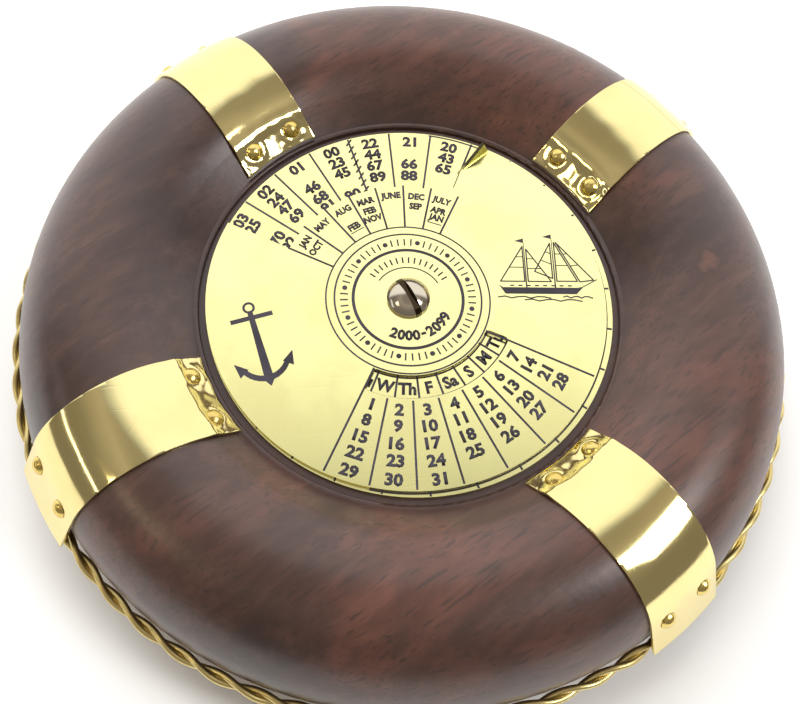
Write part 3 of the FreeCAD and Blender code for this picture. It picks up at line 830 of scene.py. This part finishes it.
def strap_arc():
    """The strap's underside in the plane y = 0, from its lip to its inner end."""
    centre = Vector((RING_RADIUS, 0, TUBE_HEIGHT))
    reach = TUBE_RADIUS + STRAP_GAP
    bpy.ops.mesh.primitive_circle_add(
        vertices=ARC_CORNERS, radius=reach, rotation=(math.pi / 2, 0, 0), location=centre)
    profile = bpy.context.object
    settle(profile)

    def off_the_arc(place):
        angle = math.degrees(math.atan2(place.z - centre.z, place.x - centre.x)) % 360
        return not STRAP_LIP_ANGLE - 0.1 < angle < STRAP_CREASE_ANGLE + 0.1

    edit_where(profile, off_the_arc)
    bpy.ops.mesh.delete(type="VERT")
    bpy.ops.object.mode_set(mode="OBJECT")
    for angle, direction, run in ((STRAP_LIP_ANGLE, -90, STRAP_LIP), (STRAP_CREASE_ANGLE, 90, STRAP_INNER)):
        turn = math.radians(angle)
        end = centre + reach * Vector((math.cos(turn), 0, math.sin(turn)))
        edit_where(profile, lambda place: (place - end).length < 0.01 * MM)
        onward = math.radians(angle + direction)
        steps = round(run / STRAP_SPACING)
        step = Vector((math.cos(onward), 0, math.sin(onward))) * run / steps
        for _ in range(steps):
            bpy.ops.mesh.extrude_region_move(TRANSFORM_OT_translate={"value": step})
        bpy.ops.object.mode_set(mode="OBJECT")
    return profile


def strap_places(angle, distance):
    """Where two pins pass through the strap's underside, for a strap along +X."""
    turn = math.radians(angle)
    onward = math.radians(angle + (90 if angle > 90 else -90))
    reach = TUBE_RADIUS + STRAP_GAP
    radius = RING_RADIUS + reach * math.cos(turn) + distance * math.cos(onward)
    height = TUBE_HEIGHT + reach * math.sin(turn) + distance * math.sin(onward)
    spread = math.asin(PIN_HALF_PITCH / radius)
    return [Vector((radius * math.cos(s * spread), radius * math.sin(s * spread), height)) for s in (-1, 1)]


def weigh(piece, name, weight_of):
    """Adds a vertex group whose weights a function of the vertex's place gives."""
    group = piece.vertex_groups.new(name=name)
    for vertex in piece.data.vertices:
        group.add([vertex.index], max(0.0, min(1.0, weight_of(vertex.co))), "REPLACE")


def hammer(name, grain):
    """Smooth procedural unevenness for a sheet that was beaten round the pins."""
    texture = bpy.data.textures.new(name, "CLOUDS")
    texture.noise_scale = grain
    texture.noise_depth = 1
    return texture


def make_strap(side, azimuth):
    half_width = settings().strap_width / 2
    strap = join([strap_arc()], "strap_" + side)
    half_turn = math.degrees(math.asin(half_width / (RING_RADIUS - 1.2 * TUBE_RADIUS)))
    strap.rotation_euler = (0, 0, math.radians(-half_turn))
    settle(strap)
    spin_about_z(strap, 2 * half_turn, STRAP_STEPS)
    for across in (-1, 1):
        edit_all(strap)
        bpy.ops.mesh.bisect(plane_co=(0, across * half_width, 0), plane_no=(0, across, 0),
                            clear_outer=True, threshold=1e-6)
        bpy.ops.object.mode_set(mode="OBJECT")
    face_up(strap)
    dent(strap, side)
    modify(strap, "SOLIDIFY", thickness=settings().strap_sheet, offset=1)
    modify(strap, "BEVEL", width=STRAP_EDGE, segments=2, limit_method="ANGLE", angle_limit=math.radians(50))
    strap.rotation_euler = (0, 0, math.radians(azimuth))
    settle(strap)
    smooth(strap, 50)
    finish_with(strap, strap_brass(), "ring")
    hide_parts("brass_strap_" + side)


def face_up(strap):
    """Turns the open sheet's faces away from the wood."""
    face_out(strap, 1e-7)
    centre = Vector((RING_RADIUS, 0, TUBE_HEIGHT))
    highest = max(strap.data.polygons, key=lambda face: face.center.z)
    if highest.normal.dot(highest.center - centre) < 0:
        edit_all(strap)
        bpy.ops.mesh.flip_normals()
        bpy.ops.object.mode_set(mode="OBJECT")


def dent(strap, side):
    """Beats the sheet: a ridge at its bend, swells between its pins, a dip and a rim at each pin."""
    pins = strap_places(STRAP_CREASE_ANGLE, INNER_PIN_DISTANCE)
    pins += strap_places(STRAP_LIP_ANGLE, OUTER_PIN_DISTANCE)
    bend = strap_places(STRAP_CREASE_ANGLE, 0.0)[0].z

    def away(place):
        return min((place - pin).length for pin in pins)

    def inside(place):
        return math.hypot(place.x, place.y) < RING_RADIUS

    def at_ridge(place):
        return math.exp(-((place.z - bend) / RIDGE_REACH) ** 2) if inside(place) else 0.0

    def off_pins(place):
        return 1 - math.exp(-(away(place) / DIMPLE_REACH) ** 4)

    def at_inner_end(place):
        return (bend + SWELL_START - place.z) / SWELL_REACH * off_pins(place) if inside(place) else 0.0

    def at_pin_rims(place):
        return math.exp(-((away(place) - RIM_RADIUS) / RIM_REACH) ** 2)

    def beat(name, height, weight_of, middle=0.0, **pattern):
        weigh(strap, name, weight_of)
        modify(strap, "DISPLACE", strength=height, mid_level=middle, vertex_group=name, **pattern)

    order = list(STRAP_SIDES).index(side)
    swell = hammer("swell_" + side, (3.0 + 0.5 * order) * MM)
    wave = hammer("wave_" + side, (7.0 + 1.7 * order) * MM)
    beat("ridge", RIDGE_RISE, at_ridge)
    beat("swell", SWELL_RISE, at_inner_end, SWELL_MIDDLE, texture=swell, texture_coords="LOCAL")
    beat("dimple", -DIMPLE_DEPTH, lambda place: 1 - off_pins(place))
    beat("rim", RIM_RISE, at_pin_rims)
    beat("all_over", WAVE_DEPTH, off_pins, 1.0, texture=wave, texture_coords="LOCAL")
    strap.vertex_groups.clear()


# wire rope


def make_rope():
    """Two wires twisted round each other and closed into a ring."""
    sizes = settings()
    turns = sizes.rope_turns
    steps = turns * STEPS_PER_TWIST
    reach = (ROPE_HIGH.z - ROPE_LOW.z) / 2
    radius = ROPE_HIGH.x - reach
    length = 2 * math.pi * radius
    bpy.ops.mesh.primitive_circle_add(
        vertices=WIRE_SIDES, radius=sizes.strand_radius, fill_type="NOTHING",
        rotation=(0, math.pi / 2, 0), location=(-length / 2, sizes.strand_radius, 0))
    wire = bpy.context.object
    settle(wire)
    edit_all(wire)
    bpy.ops.mesh.extrude_region_move(TRANSFORM_OT_translate={"value": (length / steps, 0, 0)})
    bpy.ops.object.mode_set(mode="OBJECT")
    modify(wire, "ARRAY", count=steps, use_relative_offset=False, use_constant_offset=True,
           constant_offset_displace=(length / steps, 0, 0), use_merge_vertices=True, merge_threshold=1e-6)
    other = wire.copy()
    other.data = wire.data.copy()
    bpy.context.collection.objects.link(other)
    other.rotation_euler = (math.pi, 0, 0)
    settle(other)
    rope = join([wire, other], "twisted_rope")
    modify(rope, "SIMPLE_DEFORM", deform_method="TWIST", deform_axis="X", angle=2 * math.pi * turns)
    modify(rope, "SIMPLE_DEFORM", deform_method="BEND", deform_axis="Z", angle=2 * math.pi)
    face_out(rope, 1e-5)
    low = Vector([min(v.co[i] for v in rope.data.vertices) for i in range(3)])
    high = Vector([max(v.co[i] for v in rope.data.vertices) for i in range(3)])
    rope.location = (ROPE_LOW + ROPE_HIGH) / 2 - (low + high) / 2
    settle(rope)
    smooth(rope, 70)
    finish_with(rope, rope_brass(), "ring")
    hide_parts("wire_rope")


# print on the rear dial


def year_places():
    """Each two-figure year with its column and row on the rear dial."""
    for year in range(100):
        step = year + year // 4
        yield year, step % COLUMNS, step // COLUMNS


def rear_reach(azimuth):
    """How far the rear dial reaches from the pivot in this direction, in millimetres."""
    offset = Vector((PIVOT.x, PIVOT.y)) / MM
    radius = REAR_HIGH.x / MM
    along = offset.dot(polar(1, azimuth).to_2d())
    return math.sqrt(radius ** 2 - offset.length_squared + along ** 2) - along


def make_rear_print():
    sizes = settings()
    middle = REAR_START + PITCH / 2
    years = []
    for year, column, row in year_places():
        azimuth = middle + PITCH * column
        years.append(("%02d" % year, sizes.year_height, polar(YEAR_ROWS[row], azimuth), azimuth - 90))
    lay_print(labels(years, 0.065), "year_numbers", "ring", REAR_TOP)
    days = []
    for column in range(COLUMNS):
        azimuth = middle + PITCH * column
        name = WEEKDAYS[(SATURDAY + column) % len(WEEKDAYS)]
        days.append((name, sizes.weekday_height, polar(WEEKDAY_ROW, azimuth), azimuth + 90))
    lay_print(labels(days, 0.062, 0.95), "weekday_names", "ring", REAR_TOP)
    lines = []
    for column in range(COLUMNS):
        azimuth = REAR_START + PITCH * column
        lines.append(ray(YEAR_LINE_START, rear_reach(azimuth) - YEAR_LINE_MARGIN, azimuth, sizes.line_width))
        lines.append(ray(*WEEKDAY_LINE, azimuth, sizes.line_width))
    # the rim line: print, and also painted shadow along the front dial's edge
    lines.append(arc_band(*RIM_LINE_AND_EDGE_SHADOW, 72))
    lines += [circle(radius, WEEKDAY_CIRCLE_WIDTH, 112) for radius in WEEKDAY_CIRCLES]
    for step in range(EDGE_TICKS):
        place = polar(EDGE_TICK_START + EDGE_TICK_PITCH * step, REAR_START)
        reach = polar(EDGE_TICK_LENGTH / 2, REAR_START + EDGE_TICK_TURN)
        lines.append(strip(place - reach, place + reach, sizes.line_width))
    lay_print(lines, "rear_dial_lines", "ring", REAR_TOP)


# print on the front dial


def make_month_print():
    sizes = settings()
    names = []
    lines = []
    for column, entries in enumerate(MONTH_COLUMNS):
        azimuth = MONTH_START + PITCH * (column + 0.5)
        for text, row in entries:
            names.append((text, sizes.month_height, polar(MONTH_ROWS[row], azimuth), azimuth - 90))
        if column in LEAP_MONTH_COLUMNS:
            under = polar(LEAP_MARK_RADIUS, azimuth)
            side = polar(LEAP_MARK_LENGTH / 2, azimuth + 90)
            lines.append(strip(under - side, under + side, LEAP_MARK_WIDTH))
    for column in range(len(MONTH_COLUMNS) + 1):
        lines.append(ray(*MONTH_LINE, MONTH_START + PITCH * column, sizes.line_width))
    lay_print(labels(names, 0.08, 0.88), "month_names", "dial", FRONT_TOP)
    lay_print(lines, "month_lines", "dial", FRONT_TOP)


def make_date_print():
    sizes = settings()
    dates = []
    for day in range(DAYS_IN_MONTH):
        azimuth = DATE_START + PITCH * (day % DAYS_IN_WEEK + 0.5)
        row = DATE_ROWS[day // DAYS_IN_WEEK]
        dates.append((str(day + 1), sizes.date_height, polar(row, azimuth), azimuth + 90))
    lay_print(labels(dates, 0.065), "date_numbers", "dial", FRONT_TOP)
    lines = []
    for column in range(DAYS_IN_WEEK + 1):
        start = DATE_EDGE_START if column in (0, DAYS_IN_WEEK) else DATE_LINE_START
        lines.append(ray(start, DATE_LINE_END, DATE_START + PITCH * column, sizes.line_width))
    lay_print(lines, "date_lines", "dial", FRONT_TOP)


def make_hub_print():
    """Circles round the screw, a plain border of ticks and dots, and the range of years."""
    parts = [circle(radius, width, 96) for radius, width in HUB_CIRCLES]
    for tick in range(HUB_TICKS):
        azimuth = 360.0 / HUB_TICKS * tick
        if tick % TICKS_PER_DOT == 0:
            parts.append(dot(polar(HUB_DOT_PLACE, azimuth), HUB_DOT_RADIUS, 12))
        else:
            parts.append(ray(*HUB_TICK, azimuth, HUB_TICK_WIDTH))
    for tick in range(FAN_TICKS):
        parts.append(ray(*FAN_TICK, FAN_START + FAN_PITCH * tick, FAN_TICK_WIDTH))
    parts.append(arc_band(*FAN_ARC, 24))
    lay_print(parts, "hub_border", "dial", FRONT_TOP)
    figures = []
    for index, figure in enumerate("2000-2099"):
        azimuth = YEAR_RANGE_MIDDLE + YEAR_RANGE_PITCH * (index - 4)
        figures.append((figure, YEAR_RANGE_HEIGHT, polar(YEAR_RANGE_RADIUS, azimuth), azimuth + 90))
    lay_print(labels(figures, 0.07, 1.0), "year_range", "dial", FRONT_TOP)


def make_anchor():
    """A plain anchor: ring, stock, shank and a curved arm with two flukes."""
    parts = [arc_band(0.72, 1.18, 0, 360, 24)]
    parts.append(flat_shape([(-4.0, -2.6), (4.0, -2.6), (4.0, -1.7), (-4.0, -1.7)]))
    parts.append(flat_shape([(-0.85, -14.7), (0.85, -14.7), (0.5, -1.0), (-0.5, -1.0)]))
    steps = [i / 12 for i in range(13)]
    lower = [polar(5.0, 205 + 130 * share) + Vector((0, -10.3, 0)) for share in steps]
    upper = [polar(4.2, 332 - 124 * share) + Vector((0, -9.95, 0)) for share in steps]
    parts.append(flat_shape(lower + upper))
    for side in (-1, 1):
        fluke = [(side * 5.5, -10.5), (side * 5.0, -13.5), (side * 3.2, -12.2)]
        parts.append(flat_shape(fluke if side < 0 else fluke[::-1]))
    parts.append(flat_shape([(-0.9, -15.1), (0, -16.4), (0.9, -15.1), (0, -14.3)]))
    lay_turned(parts, "anchor", ANCHOR_TURN, ANCHOR_PLACE)


def make_boat():
    """A plain two-masted sailing boat on waves, in outline."""
    thin = 0.27
    parts = [flat_shape([(-7.2, -4.0), (6.6, -4.0), (8.2, -2.3), (6.9, -2.6), (-7.6, -2.6), (-8.4, -2.0)])]
    masts = ((-3.0, 7.2), (2.6, 8.2))
    for across, top in masts:
        parts.append(strip((across, -2.7), (across, top), 0.3, 0.14))
        parts.append(flat_shape([(across, top), (across - 1.7, top + 0.45), (across, top + 1.0)]))
    sails = (
        ((-3.3, 6.4), (-3.3, -1.3), (-8.0, -1.3)),
        ((-2.6, 5.8), (1.9, -1.3), (-2.6, -1.3)),
        ((2.2, 7.2), (2.2, -0.6), (-1.2, 0.9)),
        ((3.0, 7.4), (7.0, -1.2), (3.0, -1.2)),
        ((3.4, 7.4), (10.2, -0.9), (7.5, -1.3)),
    )
    for corners in sails:
        parts += stroke([*corners, corners[0]], thin)
        peak, luff, leech = (Vector(corner) for corner in corners)
        for share in (0.3, 0.6):
            parts.append(strip(peak.lerp(luff, share), peak.lerp(leech, share), 0.2))
    parts += stroke([(8.0, -2.4), (10.8, -0.8)], 0.2)
    for level, start, end in ((-4.7, -8.6, 1.5), (-5.3, -3.5, 7.5), (-4.6, 4.0, 9.6)):
        run = (end - start) / 8
        parts += stroke([(start + run * i, level + 0.22 * math.sin(2.2 * i)) for i in range(9)], thin)
    for port in range(8):
        parts.append(strip((-6.2 + 1.6 * port, -2.2), (-5.4 + 1.6 * port, -2.2), 0.28))
    lay_turned(parts, "sailing_boat", BOAT_TURN, BOAT_PLACE)


# stage


def make_stage():
    bpy.context.scene.view_settings.view_transform = "Standard"
    let_go()
    bpy.ops.mesh.primitive_plane_add(size=FLOOR_SIZE, location=(0, 0, -FLOOR_DROP))
    floor = bpy.context.object
    floor.name = "floor"
    settle(floor)
    floor.data.materials.append(floor_paper())
    light_room()
    for name, values in LAMPS.items():
        make_lamp(name, *values)
    make_camera()


def light_room():
    """A dim warm room with one broad bright wall behind; the camera itself sees plain white."""
    world = bpy.data.worlds.new("room")
    bpy.context.scene.world = world
    world.use_nodes = True
    tree = world.node_tree
    outward = node(tree, "ShaderNodeTexCoord").outputs["Generated"]
    walls = ramp(tree, measure(tree, outward, "Z"),
                 *((place, tuple(ROOM_TONE * grey)) for place, grey in ROOM_GREYS))
    toward_wall = vector_maths(tree, "DOT_PRODUCT", "Value", outward, polar(1.0, BRIGHT_WALL_ANGLE))
    bright = ramp(tree, toward_wall, *BRIGHT_WALL_GREYS)
    room = mix_colour(tree, 1.0, walls, bright, "LIGHTEN")
    camera_ray = node(tree, "ShaderNodeLightPath").outputs["Is Camera Ray"]
    seen = mix_colour(tree, camera_ray, room, (1, 1, 1))
    feed(tree, tree.nodes["Background"], {"Color": seen, "Strength": ROOM_STRENGTH})


def make_lamp(name, place, width, depth, watts, colour=(1, 1, 1), reflected=True):
    """A soft rectangular lamp aimed at the object."""
    light = bpy.data.lights.new(name, "AREA")
    light.shape = "RECTANGLE"
    light.size = width
    light.size_y = depth
    light.energy = watts
    light.color = colour
    holder = bpy.data.objects.new(name, light)
    bpy.context.collection.objects.link(holder)
    holder.location = place
    holder.rotation_euler = (-Vector(place)).to_track_quat("-Z", "Y").to_euler()
    holder.visible_glossy = reflected


def make_camera():
    camera = bpy.data.cameras.new("photo_camera")
    camera.lens = CAMERA_LENS
    camera.sensor_width = CAMERA_SENSOR
    camera.clip_start = 0.01
    holder = bpy.data.objects.new("photo_camera", camera)
    bpy.context.collection.objects.link(holder)
    holder.location = CAMERA_PLACE
    holder.rotation_euler = [math.radians(turn) for turn in CAMERA_TURN]
    bpy.context.scene.camera = holder


# operators


class CALENDAR_OT_stage(bpy.types.Operator):
    """Lays the table, sets the room and lamps, and places the camera"""
    bl_idname = "calendar.stage"
    bl_label = "Stage"

    def execute(self, context):
        make_stage()
        return {"FINISHED"}


class CALENDAR_OT_ring(bpy.types.Operator):
    """Varnishes the turned ring and gives its pad the look of felt"""
    bl_idname = "calendar.ring"
    bl_label = "Wooden ring"

    def execute(self, context):
        finish_node("wood_ring", hardwood())
        finish_node("felt_base", felt())
        return {"FINISHED"}


class CALENDAR_OT_dials(bpy.types.Operator):
    """Gives the two dials and the spacer their pale brass"""
    bl_idname = "calendar.dials"
    bl_label = "Brass dials"

    def execute(self, context):
        for name in ("rear_dial", "front_dial", "spacer_washer"):
            finish_node(name, dial_brass())
        return {"FINISHED"}


class CALENDAR_OT_fixings(bpy.types.Operator):
    """Finishes the pins, the pivot screw and its nut"""
    bl_idname = "calendar.fixings"
    bl_label = "Pins and screw"

    def execute(self, context):
        finish_node("pivot_screw", screw_metal())
        finish_node("pivot_nut", pin_brass())
        for side in STRAP_SIDES:
            finish_node("inner_pins_" + side, pin_brass())
            finish_node("outer_pins_" + side, pin_brass())
        return {"FINISHED"}


class CALENDAR_OT_straps(bpy.types.Operator):
    """Bends the four brass straps over the ring"""
    bl_idname = "calendar.straps"
    bl_label = "Straps"

    def execute(self, context):
        for side, azimuth in STRAP_SIDES.items():
            make_strap(side, azimuth)
        return {"FINISHED"}


class CALENDAR_OT_rope(bpy.types.Operator):
    """Twists the brass wire rope round the ring"""
    bl_idname = "calendar.rope"
    bl_label = "Wire rope"

    def execute(self, context):
        make_rope()
        return {"FINISHED"}


class CALENDAR_OT_rear_print(bpy.types.Operator):
    """Prints the years, weekdays and columns on the rear dial"""
    bl_idname = "calendar.rear_print"
    bl_label = "Rear dial print"

    def execute(self, context):
        make_rear_print()
        return {"FINISHED"}


class CALENDAR_OT_front_print(bpy.types.Operator):
    """Prints the months, dates and hub border on the front dial"""
    bl_idname = "calendar.front_print"
    bl_label = "Front dial print"

    def execute(self, context):
        make_month_print()
        make_date_print()
        make_hub_print()
        return {"FINISHED"}


class CALENDAR_OT_ornaments(bpy.types.Operator):
    """Prints the plain anchor and the sailing boat on the front dial"""
    bl_idname = "calendar.ornaments"
    bl_label = "Anchor and boat"

    def execute(self, context):
        make_anchor()
        make_boat()
        return {"FINISHED"}


class CALENDAR_PT_panel(bpy.types.Panel):
    """Lists the calendar's pieces, sizes and colours"""
    bl_idname = "CALENDAR_PT_panel"
    bl_label = "Desk calendar"
    bl_space_type = "VIEW_3D"
    bl_region_type = "UI"
    bl_category = "Calendar"

    def draw(self, context):
        layout = self.layout
        for operator in OPERATORS:
            layout.operator(operator.bl_idname)
        for group in (context.scene.calendar_sizes, context.scene.calendar_colours):
            box = layout.box()
            for name in group.__annotations__:
                box.prop(group, name)


OPERATORS = (
    CALENDAR_OT_stage, CALENDAR_OT_ring, CALENDAR_OT_dials, CALENDAR_OT_fixings, CALENDAR_OT_straps,
    CALENDAR_OT_rope, CALENDAR_OT_rear_print, CALENDAR_OT_front_print, CALENDAR_OT_ornaments)
CLASSES = (CalendarSizes, CalendarColours, *OPERATORS, CALENDAR_PT_panel)


def register():
    for item in CLASSES:
        bpy.utils.register_class(item)
    bpy.types.Scene.calendar_sizes = bpy.props.PointerProperty(type=CalendarSizes)
    bpy.types.Scene.calendar_colours = bpy.props.PointerProperty(type=CalendarColours)


def unregister():
    del bpy.types.Scene.calendar_colours
    del bpy.types.Scene.calendar_sizes
    for item in reversed(CLASSES):
        bpy.utils.unregister_class(item)


def main():
    register()
    for operator in OPERATORS:
        module, name = operator.bl_idname.split(".")
        getattr(getattr(bpy.ops, module), name)()


if __name__ == "__main__":
    main()
